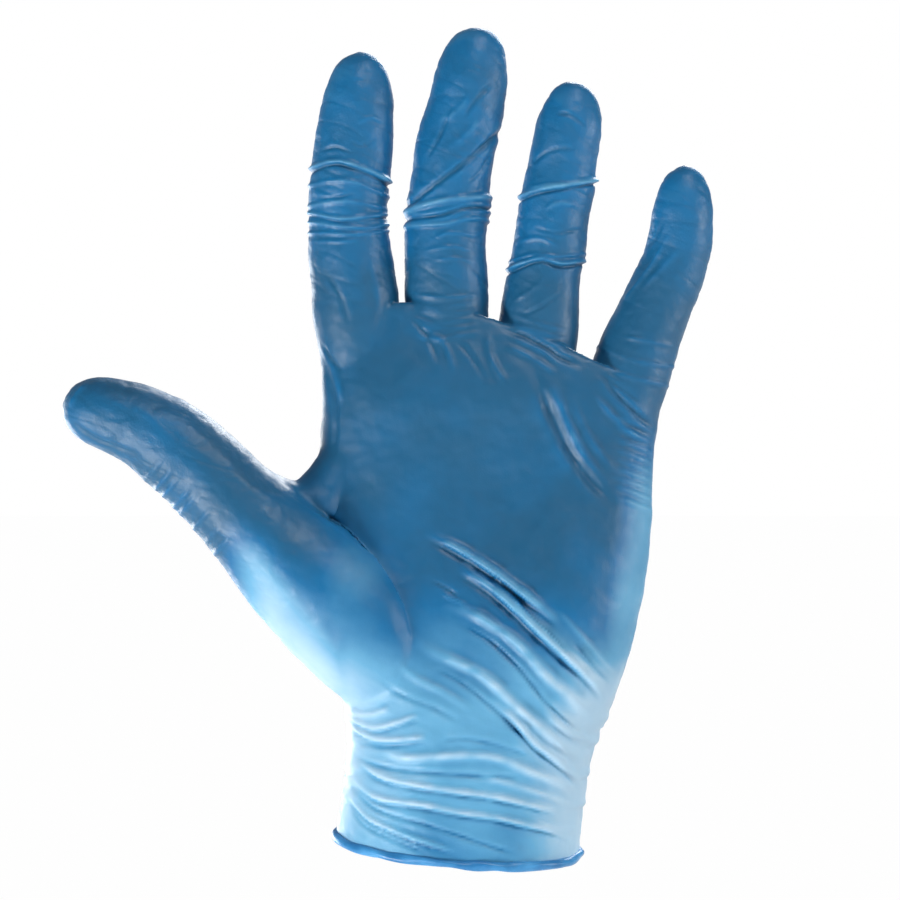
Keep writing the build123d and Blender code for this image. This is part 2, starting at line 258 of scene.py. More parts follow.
def level_values(heights):
    """The outline's values at these heights, read between the levels."""
    table = np.array(HAND_LEVELS)
    return [np.interp(heights, table[:, 0], column) for column in table[:, 1:].T]


def palm_form():
    """A closed tube of rings, wrapped round the hand's outline and cut along the webs."""
    low, high = HAND_LEVELS[0][0], HAND_LEVELS[-1][0]
    bpy.ops.object.select_all(action="DESELECT")
    bpy.ops.mesh.primitive_cylinder_add(
        vertices=PALM_SIDES, radius=1.0, depth=(high - low) * MM, location=(0, 0, (high + low) / 2 * MM)
    )
    thing = bpy.context.object
    thing.name = "palm_form"
    bpy.ops.object.transform_apply()
    for ring in range(1, PALM_RINGS):
        height = low + (high - low) * ring / PALM_RINGS
        bpy.ops.object.mode_set(mode="EDIT")
        bpy.ops.mesh.select_all(action="SELECT")
        bpy.ops.mesh.bisect(plane_co=(0, 0, height * MM), plane_no=(0, 0, 1))
        bpy.ops.object.mode_set(mode="OBJECT")
    places = corners(thing)
    thumb, little, palm, back, heel, square = level_values(places[:, 2])
    angle = np.arctan2(places[:, 1], places[:, 0])
    cosine, sine = np.cos(angle), np.sin(angle)
    power = 2 / square
    across = np.sign(cosine) * np.abs(cosine) ** power
    bulge = heel * np.exp(-(((across - HEEL_PLACE) / HEEL_SPREAD) ** 2))
    depth = np.where(sine < 0, palm + bulge, back)
    places[:, 0] = across * np.where(cosine > 0, little, thumb)
    places[:, 1] = np.sign(sine) * np.abs(sine) ** power * depth
    set_corners(thing, places)
    bpy.ops.object.mode_set(mode="EDIT")
    for (x_one, z_one), (x_two, z_two) in zip(WEBS, WEBS[1:]):
        slope = (z_two - z_one) / (x_two - x_one)
        bpy.ops.mesh.select_all(action="SELECT")
        bpy.ops.mesh.bisect(
            plane_co=(x_one * MM, WEB_DEPTH * MM, z_one * MM),
            plane_no=(-slope, WEB_FALL, 1.0),
            use_fill=True,
            clear_outer=True,
        )
    bpy.ops.object.mode_set(mode="OBJECT")
    return thing


# The skin that is stretched between the thumb and the index finger
THUMB_WEB = [
    (-60.0, -11.0, 101.0, 6.0), (-50.0, -8.5, 92.5, 7.0), (-38.0, -5.5, 92.0, 7.0),
    (-31.0, -3.0, 106.0, 6.0),
]

hand_pieces = [palm_form(), tube("thumb_form", THUMB_STATIONS), tube("web_form", THUMB_WEB)]
hand_pieces += [finger_form(name) for name in FINGERS]
for piece in hand_pieces:
    print(piece.name, len(piece.data.vertices), "vertices")

# %% Fuse the pieces and soften the webs
VOXEL = 0.7
SOFTEN_STEPS = 18
FILM_STANDS_OFF = 0.45  # the film lies this far outside the form

pick(*hand_pieces)
bpy.ops.object.join()
hand = bpy.context.object
hand.name = "hand_form"
apply_modifier(hand, "REMESH", mode="VOXEL", voxel_size=VOXEL * MM, adaptivity=0.0)
apply_modifier(hand, "SMOOTH", factor=0.55, iterations=SOFTEN_STEPS)
apply_modifier(hand, "DISPLACE", strength=FILM_STANDS_OFF * MM, mid_level=0.0)
print("hand form", len(hand.data.vertices), "vertices")

# %% [markdown]
# ## Cut lines
# The glove moves as sixteen bodies, so the skin will be cut where one body's film hands over to the next.
# Cutting first and folding afterwards keeps the folds unbroken across the cuts. Each cut is a bisect of
# only the faces near it. A finger is cut at its root and then in the middle of its lengths, where the
# film stays straight, so that each bend lies inside one piece.

# %% Helpers for cuts
FINGER_REACH = 15.0  # nothing of a finger lies further than this from its centre line
CUT_REACH = 3.0  # only faces this near to a cut are bisected


def face_middles(thing):
    """Middle of each face, in millimetres."""
    flat = np.empty(len(thing.data.polygons) * 3)
    thing.data.polygons.foreach_get("center", flat)
    return flat.reshape(-1, 3) / MM


def cut_faces(thing, chosen, point, normal, **options):
    """Bisects the chosen faces by a plane."""
    pick(thing)
    bpy.context.tool_settings.mesh_select_mode = (False, False, True)
    thing.data.polygons.foreach_set("select", chosen)
    bpy.ops.object.mode_set(mode="EDIT")
    bpy.ops.mesh.bisect(plane_co=tuple(np.array(point) * MM), plane_no=tuple(normal), **options)
    bpy.ops.object.mode_set(mode="OBJECT")


def unit(vector):
    """The vector at a length of one."""
    return np.array(vector) / np.linalg.norm(vector)


# %% The fingers' centre lines, seen from the front
def finger_line(name):
    """Root, middle and tip flex lines and the fingertip, as points in the front view's plane."""
    points = [flex_point(f"{name}_{part}_flex") for part in ("root", "middle", "tip")]
    low, high = node_box(f"{name}_stall_tip")
    points.append(np.array([(low[0] + high[0]) / 2, 0, high[2]]))
    return [np.array([point[0], 0.0, point[2]]) for point in points]


lines = {name: finger_line(name) for name in FINGERS}


def line_gap(places, line):
    """Distance in the front view from places to a finger's centre line."""
    best = np.full(len(places), 1e9)
    for one, two in zip(line, line[1:]):
        step = two - one
        share = np.clip(((places - one) * [1, 0, 1]) @ step / (step @ step), 0, 1)
        gap = ((places - one) * [1, 0, 1]) - share[:, None] * step
        best = np.minimum(best, np.linalg.norm(gap, axis=1))
    return best


def beyond(places, point, normal):
    """Signed distance of places from a plane."""
    return (places - point) @ normal


def finger_of(places):
    """Index of the finger that each place belongs to, or -1."""
    gaps = np.array([line_gap(places, lines[name]) for name in FINGERS])
    nearest = gaps.argmin(axis=0)
    owner = np.full(len(places), -1)
    for number, name in enumerate(FINGERS):
        root, middle = lines[name][:2]
        own = (nearest == number) & (gaps[number] < FINGER_REACH)
        owner[own & (beyond(places, root, unit(middle - root)) > 0)] = number
    return owner


# %% Cut at the rim, the palm's borders and in the middle of each stall's lengths
RIM_PITCH, RIM_ROLL = math.radians(7.0), math.radians(4.3)
RIM_NORMAL = np.array([math.sin(RIM_ROLL), -math.sin(RIM_PITCH), math.cos(RIM_PITCH)])
RIM_LIFT = 0.6  # the film ends inside the rolled edge
CUFF_TOP = 51.0
THUMB_SIDE = -43.0  # past this place everything is thumb
THUMB_MIDDLE = -72.0
PALM_HALVES = 1.0  # the palm is divided into a front and a back here
CUT_SHARES = (0.0, 0.56, 0.52)  # root, first and second length: where the cut lies along each

everything = np.ones(len(hand.data.polygons), bool)
cut_faces(hand, everything, RIM_NORMAL * RIM_LIFT, RIM_NORMAL, clear_inner=True)
finger_cuts = {}
for number, name in enumerate(FINGERS):
    line = lines[name]
    finger_cuts[name] = []
    for part, share in enumerate(CUT_SHARES):
        first = max(part - 1, 0)
        normal = unit(line[first + 1] - line[first])
        point = line[first] + (line[first + 1] - line[first]) * share
        finger_cuts[name].append((point, normal))
        middles = face_middles(hand)
        gaps = np.array([line_gap(middles, lines[other]) for other in FINGERS])
        near = np.abs(beyond(middles, point, normal)) < CUT_REACH
        own = (gaps.argmin(axis=0) == number) & (gaps[number] < FINGER_REACH)
        cut_faces(hand, near & own, point, normal)
for place_x in (THUMB_SIDE, THUMB_MIDDLE):
    middles = face_middles(hand)
    cut_faces(hand, np.abs(middles[:, 0] - place_x) < CUT_REACH, (place_x, 0, 0), (1, 0, 0))
middles = face_middles(hand)
cut_faces(hand, np.abs(middles[:, 2] - CUFF_TOP) < CUT_REACH, (0, 0, CUFF_TOP), (0, 0, 1))
middles = face_middles(hand)
in_palm = (finger_of(middles) < 0) & (middles[:, 0] > THUMB_SIDE) & (middles[:, 2] > CUFF_TOP)
at_middle = np.abs(middles[:, 1] - PALM_HALVES) < CUT_REACH
cut_faces(hand, in_palm & at_middle, (0, PALM_HALVES, 0), (0, 1, 0))
print("cut skin", len(hand.data.polygons), "faces")

# %% Finer faces on the fingers and the thumb, where the wrinkles are narrow
middles = face_middles(hand)
fine = (finger_of(middles) >= 0) | (middles[:, 0] < THUMB_SIDE)
pick(hand)
hand.data.polygons.foreach_set("select", fine)
bpy.ops.object.mode_set(mode="EDIT")
bpy.ops.mesh.subdivide(number_cuts=1)
bpy.ops.object.mode_set(mode="OBJECT")
apply_modifier(hand, "SMOOTH", factor=0.4, iterations=2)
print("finer skin", len(hand.data.polygons), "faces")

# %% [markdown]
# ## Folds
# A film that is a little too wide for the hand lies in folds: long soft ones that run from the ring
# finger across the palm to the wrist, rings round the cuff, and tight bunches at the finger joints. A
# cloth simulation would need a film of real thickness on a moving hand, which no mesh of this size can
# hold. So the folds are drawn as a sculptor does: each is a line on the palm with a height, a width and a
# cross-section, and the skin is pushed along its normal. The heights are added up in one field, so that
# folds cross softly.

# %% The field of heights
places = corners(hand)
normals = outward(hand)
flat_places = places[:, [0, 2]]
front = -normals[:, 1]
heights = np.zeros(len(places))


def smooth_line(points, steps=6):
    """Points along a soft curve through the given points."""
    points = np.array(points, float)
    if len(points) == 2:
        return points
    padded = np.vstack([2 * points[0] - points[1], points, 2 * points[-1] - points[-2]])
    curve = []
    for a, b, c, d in zip(padded, padded[1:], padded[2:], padded[3:]):
        for step in range(steps):
            t = step / steps
            square, cube = 2 * a - 5 * b + 4 * c - d, 3 * b - a - 3 * c + d
            curve.append(0.5 * (2 * b + (c - a) * t + square * t**2 + cube * t**3))
    return np.vstack([curve, points[-1]])


def section(kind, gap, width):
    """Height of a fold's cross-section at a signed distance from its line."""
    if kind == "ridge":
        return np.exp(-((gap / width) ** 2)) - 0.35 * np.exp(-((gap / (2.2 * width)) ** 2))
    if kind == "crease":
        return 0.45 * np.exp(-((gap / (2.0 * width)) ** 2)) - np.exp(-((gap / (0.75 * width)) ** 2))
    # a pleat lies over: a round back on its left side and a steep valley on its right
    back = np.exp(-(((gap - 0.55 * width) / width) ** 2))
    valley = np.exp(-(((gap + 0.65 * width) / (0.6 * width)) ** 2))
    return back - 0.75 * valley


def fold(points, height, width, kind="ridge", round_the_side=False, back=False, taper=0.3):
    """Adds one fold along a line of the front view. Above a line that runs to the right is its left side."""
    curve = smooth_line(points)
    if round_the_side:
        lead = unit(curve[0] - curve[1]) * 3
        tail = unit(curve[-1] - curve[-2]) * 3
        curve = np.vstack([curve[0] + lead, curve, curve[-1] + tail])
    low, high = curve.min(axis=0) - 4 * width, curve.max(axis=0) + 4 * width
    near = np.nonzero(np.all((flat_places > low) & (flat_places < high), axis=1))[0]
    spots = flat_places[near]
    best = np.full(len(near), 1e9)
    signed = np.zeros(len(near))
    along = np.zeros(len(near))
    run = 0.0
    for one, two in zip(curve, curve[1:]):
        length = np.linalg.norm(two - one)
        step = (two - one) / length
        offset = spots - one
        held = np.clip(offset @ step, 0, length)
        gap = np.linalg.norm(offset - held[:, None] * step, axis=1)
        closer = gap < best
        best[closer] = gap[closer]
        side = step[0] * offset[closer, 1] - step[1] * offset[closer, 0]
        signed[closer] = np.where(side > 0, 1, -1) * gap[closer]
        along[closer] = run + held[closer]
        run += length
    facing = -front[near] if back else front[near]
    if round_the_side:
        fade = soft_step(-0.75, -0.2, facing)
    else:
        fade = soft_step(-0.25, 0.25, facing)
        fade *= soft_step(0, taper * run, along) * soft_step(0, taper * run, run - along)
    uneven = 1 + 0.22 * np.sin(along * 0.55 + curve[0][0]) + 0.12 * np.sin(along * 1.3 + curve[0][1])
    heights[near] += height * fade * uneven * section(kind, signed, width)


def mound(x, z, reach_x, reach_z, height, back=False):
    """Raises or sinks the skin softly round a place."""
    facing = -front if back else front
    shape = np.exp(-(((places[:, 0] - x) / reach_x) ** 2) - ((places[:, 2] - z) / reach_z) ** 2)
    heights[:] += height * shape * soft_step(-0.1, 0.5, facing)


# %% The hand's own mounds and hollows
# Place across, height, reach across, reach up and how high: the ball of the thumb, the hollow of the palm,
# the heel, the pads under the fingers' roots and the one under the index finger
PALM_MOUNDS = [
    (-28, 66, 15, 17, 1.6), (8, 96, 17, 17, -1.8), (40, 84, 12, 22, 1.0), (20, 126, 30, 9, 0.8),
    (-24, 124, 12, 12, 0.6),
]
# The groove between the ball of the thumb and the palm is filled up again
GROOVE = [(-35, 91, 0.9), (-29, 85, 1.1), (-23, 77, 1.3), (-18.5, 68, 1.4), (-16, 59, 1.2), (-16, 50, 0.6)]
KNUCKLES = [(-26, 139), (-3, 141), (21, 136), (45, 126)]

for place in PALM_MOUNDS:
    mound(*place)
for x, z, height in GROOVE:
    mound(x, z, 5.5, 7, height)
for x, z in KNUCKLES:
    mound(x, z, 7, 8, 1.7, back=True)
    mound(x, z - 24, 4, 20, 0.7, back=True)  # the tendon below the knuckle
for name, line in lines.items():
    for one, two, height in zip(line, line[1:], (0.5, 0.6, 0.5)):
        middle = (one + two) / 2
        mound(middle[0], middle[2], 7, 6, height)
    for joint_point in line[1:3]:
        mound(joint_point[0], joint_point[2], 7, 5, 0.7, back=True)

flesh = heights.copy()

# %% Long folds over the palm
# Points of each fold, its height, its width and its cross-section
PALM_FOLDS = [
    ([(-10, 85.5), (0, 80.5), (8, 75.5), (15, 70.5), (22, 65), (28, 60)], 1.15, 1.7, "pleat"),
    ([(-2, 76), (5, 72.5), (12, 67.5), (20, 60), (28, 52.5), (35, 46), (41, 38)], 1.2, 1.9, "pleat"),
    ([(-6, 67), (0, 65.5), (5, 63.5), (10, 60.5), (15, 57), (20, 52), (25, 46), (30, 42), (38, 34)],
     1.1, 2.1, "ridge"),
    ([(-8, 73), (-3, 70.5), (1, 67.5)], 0.4, 0.9, "crease"),
    ([(-5, 69.5), (3, 66)], 0.35, 0.8, "ridge"),
    ([(-12, 56.5), (-5, 53), (0, 50.8), (5, 48.5), (10, 45), (15, 40), (20, 35.5), (25, 31), (30, 27),
      (36, 21)], 1.0, 1.9, "ridge"),
    ([(8, 42), (15, 35), (20, 29), (25, 25), (30, 20.5), (34, 15)], 0.8, 1.5, "pleat"),
    ([(4, 78.5), (12, 72), (20, 63.5), (28, 55), (35, 48), (40, 42)], 0.55, 0.9, "crease"),
    ([(-1, 62), (8, 57), (16, 49.5), (23, 41), (30, 34), (36, 27)], 0.6, 0.9, "crease"),
    ([(-8, 50), (0, 46), (8, 40), (16, 32.5), (24, 25)], 0.5, 1.0, "crease"),
    ([(26, 66), (33, 58), (39, 51), (44, 46)], 0.45, 1.0, "ridge"),
    ([(23, 37.5), (30, 32), (38, 28)], 0.7, 1.3, "ridge"),
    ([(18, 132), (21, 128), (25, 118), (30, 108), (35, 101), (40, 95), (44, 90)], 0.9, 2.6, "crease"),
    ([(25, 126), (29, 117), (33, 108), (39, 100)], 0.6, 2.0, "ridge"),
    ([(30, 124), (34, 114), (40, 105), (46, 100)], 0.45, 1.6, "ridge"),
    ([(10, 142), (20, 138), (28, 133), (35, 130)], 0.8, 1.3, "crease"),
    ([(12, 137), (20, 133), (27, 128)], 0.5, 1.2, "ridge"),
    ([(38, 129), (45, 121), (54, 113)], 0.7, 1.3, "crease"),
    ([(36, 124), (43, 116), (52, 109)], 0.5, 1.2, "ridge"),
    ([(-37, 137), (-34.5, 133), (-31, 129)], 0.4, 0.9, "crease"),
    ([(-36, 134), (-33, 128), (-31, 120)], 0.35, 1.3, "ridge"),
    ([(-35.5, 130), (-33, 120), (-33.5, 106)], 0.45, 1.2, "crease"),
    ([(-13, 144), (-8, 138.5), (-5, 131)], 0.45, 1.1, "crease"),
    ([(-8, 141), (-3, 135.5), (-1, 128)], 0.35, 1.1, "ridge"),
    ([(-2, 139), (3, 134), (8, 126)], 0.35, 1.1, "crease"),
    ([(8, 141), (9, 133), (14, 124)], 0.45, 1.3, "ridge"),
    ([(-41, 96), (-36, 90), (-28, 86)], 0.5, 2.0, "crease"),
    ([(12, 54), (18, 48), (24, 41)], 0.35, 0.9, "crease"),
    ([(2, 60), (8, 57), (13, 53)], 0.3, 0.9, "crease"),
    ([(30, 58), (36, 50), (42, 44)], 0.4, 1.1, "crease"),
    ([(-18, 52), (-12, 47), (-4, 43), (4, 38)], 0.45, 1.3, "ridge"),
    ([(-22, 47), (-15, 42), (-6, 38.5), (2, 34)], 0.4, 1.2, "crease"),
]
PALM_LIFT, PALM_NARROW = 1.5, 0.75  # all the palm's folds together: how much higher and narrower
for points, height, width, kind in PALM_FOLDS:
    fold(points, PALM_LIFT * height, PALM_NARROW * width, kind)

# Small waves on the outer edge of the hand, where the film is bunched under the little finger
for step, height in enumerate((115, 112, 109, 106, 103.5, 101, 98.5, 96, 93)):
    fold([(40 + step % 3, height + 2.5), (46, height + 1), (54.5, height - 2.5)], 0.42, 0.85, "ridge")

# %% Rings and folds round the wrist
CUFF_FOLDS = [
    ([(-22, 27.5), (-15, 25.5), (-5, 26), (5, 26.2), (12, 25), (20, 21.5), (28, 18), (33, 14.5)],
     1.0, 1.5, "ridge"),
    ([(-29, 26), (-24, 23.5), (-15, 22), (0, 21), (18, 20)], 0.75, 1.1, "crease"),
    ([(-28, 24), (-20, 19.5), (-10, 17.5), (0, 16), (10, 14.5), (20, 12), (28, 9.5)], 0.8, 1.1, "pleat"),
    ([(-30, 20), (-25, 15.5), (-20, 13.5), (-10, 12.5), (0, 10.5), (10, 9), (18, 7), (25, 5), (32, 1.5)],
     0.8, 1.1, "pleat"),
    ([(-30, 18), (-25, 13), (-20, 10.5), (-10, 8), (0, 5), (10, 1.5), (17, -0.5)], 0.65, 0.9, "crease"),
    ([(-30, 14), (-25, 9), (-20, 6.5), (-10, 3), (0, 0)], 0.6, 0.9, "pleat"),
    ([(-29, 11), (-25, 6.5), (-15, 2.5), (-8, 0)], 0.5, 0.8, "crease"),
    ([(-30, 37.5), (-25, 36.5), (-18, 38.5)], 0.6, 1.0, "ridge"),
    ([(-30, 35.5), (-25, 33), (-20, 33), (-10, 36.5)], 0.75, 1.0, "pleat"),
    ([(-30, 33), (-24, 30), (-18, 29.5), (-8, 30.5)], 0.75, 1.1, "pleat"),
    ([(-29, 29.5), (-22, 28), (-12, 28.5)], 0.5, 0.9, "crease"),
    ([(-5, 30), (2, 30.5), (10, 29), (20, 25.5)], 0.45, 1.0, "crease"),
    ([(5, 21.5), (14, 18.5), (24, 15), (33, 10)], 0.5, 1.0, "ridge"),
    ([(20, 9), (28, 5.5), (33, 4)], 0.45, 0.9, "ridge"),
]
CUFF_LIFT, CUFF_NARROW = 1.35, 0.8
for points, height, width, kind in CUFF_FOLDS:
    fold(points, CUFF_LIFT * height, CUFF_NARROW * width, kind, taper=0.18)
# On the back: height in the middle, slope and size
BACK_PLEATS = [(34, -0.02, 0.5), (29, 0.05, 0.55), (23, 0.1, 0.6), (17, 0.03, 0.5), (11, -0.03, 0.45)]
for height, slope, size in BACK_PLEATS:
    line = [(x, height + slope * x + 1.2 * math.sin(x * 0.11 + height)) for x in range(-34, 42, 8)]
    fold(line, size, 1.2, "pleat", back=True, round_the_side=True)

# %% Bunched film at the finger joints, seen from the pads
INDEX_RINGS = [
    ([(-40.5, 184.3), (-33, 185.9), (-25, 183.6), (-19, 181)], 0.75, 0.9, "pleat"),
    ([(-41, 180.2), (-30, 181), (-20, 177.5)], 0.4, 0.8, "ridge"),
    ([(-41, 177), (-34, 176.4), (-26, 178)], 0.3, 0.7, "crease"),
    ([(-41, 174.5), (-30, 175.4), (-19, 173.5)], 0.4, 0.8, "ridge"),
    ([(-41, 172.5), (-32, 170.4), (-25, 171), (-19, 172)], 0.45, 0.7, "pleat"),
    ([(-41, 170.2), (-31, 168.6), (-24, 168.4), (-19, 169.5)], 0.5, 0.65, "ridge"),
    ([(-41, 167.3), (-31, 166.6), (-24, 166.9), (-18.5, 168)], 0.45, 0.6, "ridge"),
    ([(-41, 165), (-32, 164.6), (-26, 165.2)], 0.35, 0.6, "ridge"),
    ([(-28, 196), (-24, 198), (-20, 197)], 0.35, 0.8, "ridge"),
    ([(-38, 189), (-33, 190), (-28, 188)], 0.4, 0.8, "crease"),
    ([(-37, 158), (-32, 150), (-29, 140)], 0.35, 1.2, "crease"),
    ([(-24, 162), (-22, 152), (-21, 144)], 0.3, 1.2, "ridge"),
    ([(-30, 192), (-26, 190.5), (-21, 193)], 0.2, 0.8, "crease"),
]
MIDDLE_RINGS = [
    ([(-11, 176.5), (-6, 180), (0, 184.5), (6, 189.5), (12, 195)], 0.75, 1.2, "crease"),
    ([(-14.5, 173), (-6, 175.3), (0, 176.2), (9, 177)], 0.9, 1.1, "ridge"),
    ([(-14.5, 170.8), (-5, 171.6), (2, 173.6), (9, 173.8)], 0.9, 0.9, "crease"),
    ([(-14.5, 169), (-4, 169.3), (4, 171), (9, 170.3)], 0.6, 0.8, "ridge"),
    ([(-8, 164.5), (-3, 166.8), (4, 166.5), (8, 167.5)], 0.35, 0.7, "ridge"),
    ([(-10, 162), (-2, 163.2), (5, 162)], 0.28, 0.7, "ridge"),
    ([(-8, 159.5), (0, 160), (6, 158.8)], 0.25, 0.6, "ridge"),
    ([(2, 180), (6, 184), (9, 189)], 0.35, 0.9, "crease"),
    ([(-4, 189), (2, 193), (7, 199)], 0.45, 1.4, "ridge"),
    ([(-9, 186), (-5, 193), (-1, 203)], 0.4, 1.0, "crease"),
    ([(1, 197), (5, 203), (10, 208)], 0.45, 1.0, "crease"),
    ([(-6, 197), (0, 200), (4, 206)], 0.3, 1.1, "ridge"),
]
RING_RINGS = [
    ([(16, 176.3), (22, 178.2), (30, 179.5), (38, 181.2)], 0.85, 0.85, "pleat"),
    ([(17, 178.6), (24, 180), (31, 180.2)], 0.4, 0.7, "ridge"),
    ([(13, 156.6), (22, 159.6), (28, 158.3), (35, 159.3)], 0.85, 0.85, "pleat"),
    ([(14, 159.4), (21, 161.2), (28, 160.6), (35, 161.5)], 0.45, 0.7, "ridge"),
    ([(14.5, 164.4), (22, 165.5), (28, 163)], 0.35, 0.8, "ridge"),
    ([(20, 168.5), (27, 167), (34, 168.2)], 0.3, 0.8, "crease"),
    ([(26, 199), (30, 199), (35, 195.5)], 0.45, 0.9, "crease"),
    ([(19, 185), (25, 189), (33, 190)], 0.35, 1.0, "crease"),
    ([(22, 172), (27, 175), (34, 174)], 0.35, 0.9, "ridge"),
    ([(17, 144.5), (22, 146.5), (28, 151)], 0.4, 0.9, "crease"),
    ([(14, 148), (20, 151.5), (24, 155)], 0.3, 0.9, "ridge"),
]
LITTLE_RINGS = [
    ([(42, 145), (47, 151), (52, 157.5), (56, 164), (59, 169.5)], 0.45, 0.9, "ridge"),
    ([(49, 150.5), (55, 157), (61, 163.5)], 0.35, 1.1, "ridge"),
    ([(51, 163), (54, 166), (56, 171)], 0.3, 1.0, "crease"),
    ([(38, 131), (46, 128), (57, 125.5)], 0.5, 0.8, "ridge"),
    ([(41, 135), (49, 132), (60, 130.5)], 0.35, 0.8, "ridge"),
    ([(43, 139), (52, 137.5), (60, 136)], 0.3, 0.8, "ridge"),
    ([(37, 129.5), (43, 125.5), (50, 120.5)], 0.7, 0.9, "crease"),
]
RING_LIFT, RING_NARROW = 1.05, 0.85
WHOLE_BREADTH = 17  # a fold that is broader than this goes on round the sides
for points, height, width, kind in INDEX_RINGS + MIDDLE_RINGS + RING_RINGS + LITTLE_RINGS:
    whole = abs(points[-1][0] - points[0][0]) > WHOLE_BREADTH
    fold(points, RING_LIFT * height, RING_NARROW * width, kind, round_the_side=whole)

# Wrinkles under the middle and ring fingers' roots
for step in range(6):
    height = 139 + 2.1 * step
    points = [(-13.5, height + 1), (-6, height - 1.0 + step % 2), (0, height), (7, height + 1.2)]
    fold(points, 0.38, 0.7, "ridge")
for step in range(4):
    height = 135 + 2.3 * step
    points = [(13, height + 3.5), (20, height + 1), (27, height - 1), (33, height - 2)]
    fold(points, 0.34, 0.75, "ridge")

# %% The thumb's folds: short ones across its lower edge, the rim of its nail and two long ones above
THUMB_NICKS = [
    (-84, 100, 0.35), (-81.7, 97.1, 0.55), (-79.8, 95.2, 0.45), (-77, 92, 0.6), (-75.4, 90.3, 0.35),
    (-71.5, 86.5, 0.45), (-68.2, 82.6, 0.25), (-66, 79.5, 0.35),
]
for x, z, size in THUMB_NICKS:
    fold([(x - 3, z - 2.2), (x + 1.5, z + 1.6), (x + 6, z + 6.5)], size, 0.8, "ridge", taper=0.45)
fold([(-105, 117), (-98, 111.5), (-90, 108.3), (-84, 106)], 0.6, 1.0, "crease")
fold([(-104.5, 119), (-102.5, 123.5), (-99, 126.2)], 0.5, 0.9, "ridge")
fold([(-94, 121), (-86, 119.5), (-78, 114)], 0.35, 1.8, "ridge")
fold([(-64, 108), (-58, 100), (-50, 95), (-44, 92)], 0.35, 1.6, "ridge")

# %% Wrinkles on the back, drawn at random over each joint
rng = np.random.default_rng(7)
for name, line in lines.items():
    for joint_point, count in zip(line[1:3], (7, 5)):
        for step in range(count):
            height = joint_point[2] + (step - (count - 1) / 2) * 1.9 + rng.uniform(-0.3, 0.3)
            bow, slope = rng.uniform(-0.8, 0.8), rng.uniform(-0.7, 0.7)
            half = rng.uniform(5.5, 8.5)
            across = joint_point[0] + rng.uniform(-1, 1)
            left, right = (across - half, height - slope), (across + half, height + slope)
            points = [left, (across, height + bow), right]
            fold(points, rng.uniform(0.25, 0.45), rng.uniform(0.6, 0.9), "ridge", back=True)
for step in range(16):
    x, z = rng.uniform(-22, 34), rng.uniform(50, 112)
    lean = rng.uniform(-0.5, 0.9)
    points = [(x - 9, z - 9 * lean), (x, z + rng.uniform(-1, 1)), (x + 9, z + 9 * lean)]
    fold(points, rng.uniform(0.3, 0.7), rng.uniform(1.2, 2.2), "ridge", back=True)

# %% [markdown]
# Loose film is never quite smooth between its large folds: it has short shallow creases, most of them
# running across the finger. They could be drawn one by one, but there are hundreds, so they are taken
# from noise. Where the noise passes through zero it leaves a line, and that line becomes a crease,
# deepest on the fingers.

# %% Fine creases all over
CREASE_SHARE = 0.3


def crumple(points, length, spacing):
    """Short creases at random, as a height from 0 in the open to -1 in a crease."""
    tilt = points[:, 2] + 0.35 * points[:, 0]
    stretched = np.stack([points[:, 0] / length, points[:, 1] / length, tilt / spacing], axis=1)
    values = np.array([noise.noise(Vector(point)) for point in stretched])
    return -(np.maximum(0, 1 - np.abs(values) / CREASE_SHARE) ** 2)


x, y, z = places.T
loose = 0.03 + 0.10 * soft_step(132, 158, z) + 0.08 * soft_step(-45, -70, x) + 0.06 * soft_step(60, 40, z)
heights += loose * crumple(places, 16.0, 6.0) + 0.5 * loose * crumple(places + 40, 11.0, 3.6)

# %% The folds go into the skin
set_corners(hand, places + normals * heights[:, None])
fold_heights = heights - flesh
print("folds from", round(heights.min(), 2), "to", round(heights.max(), 2), "mm")

# %% A slight unevenness all over, as hand and film are never quite smooth
clouds = bpy.data.textures.new("unevenness", "CLOUDS")
clouds.noise_scale = 9 * MM
apply_modifier(hand, "DISPLACE", texture=clouds, strength=0.7 * MM, mid_level=0.5, texture_coords="LOCAL")
ripples = bpy.data.textures.new("ripples", "CLOUDS")
ripples.noise_scale = 2.4 * MM
apply_modifier(hand, "DISPLACE", texture=ripples, strength=0.16 * MM, mid_level=0.5, texture_coords="LOCAL")

# %% [markdown]
# ## How the film is stretched, and where light and shade are painted
# Nitrile turns paler where it is pulled thin: over the ball of the thumb, the heel of the hand and the
# wrist. Where it lies slack and doubled, as between the fingers, it is deeper. The same number also
# paints light and shade: the glow of the low left lamp on the lower left and the wrist, a reflection
# along the outer edge, highlights on the folds' ridges and shade in their creases. The upper palm is
# left at the deepest blue as painted shade, and the fingers are a little paler than it. Each point of
# the skin gets all that as one number, which the material reads.

# %% Stretch with painted light and shade, and the smooth normals, are written on the skin
FOLD_PAINTED_LIGHT = 0.34  # painted highlight: a fold's ridge is this much paler per millimetre of its height, and its crease this much deeper as painted shade
TINT_LIMIT = 1.2

places = corners(hand)
normals = outward(hand)
x, y, z = places.T
uneven = 0.05 * np.sin(x * 0.21 + 1.3 * np.sin(z * 0.09)) * np.sin(z * 0.17 + 0.8)
# Painted light: the lower edge of the thumb's ball, the ball, the heel and the wrist are painted paler,
# partly as film stretched thin and partly as the glow of the low left lamp on the satin film
from_edge = (x + 30) * 0.764 + (z - 37) * 0.645  # how far inside the lower edge of the thumb's ball
edge_of_ball = soft_step(17, 1, from_edge) * soft_step(-66, -48, x) * soft_step(28, 46, z)
ball = 0.18 * np.exp(-(((x + 30) / 20) ** 2) - (((z - 71) / 15) ** 2))
from_middle = np.abs(x - 3)
wrist = 0.58 * soft_step(86, 32, z) + 0.3 * np.minimum((from_middle / 30) ** 3, 1.2) * soft_step(60, 45, z)
wrist -= 0.18 * soft_step(14, 4, z) * soft_step(30, 10, from_middle)
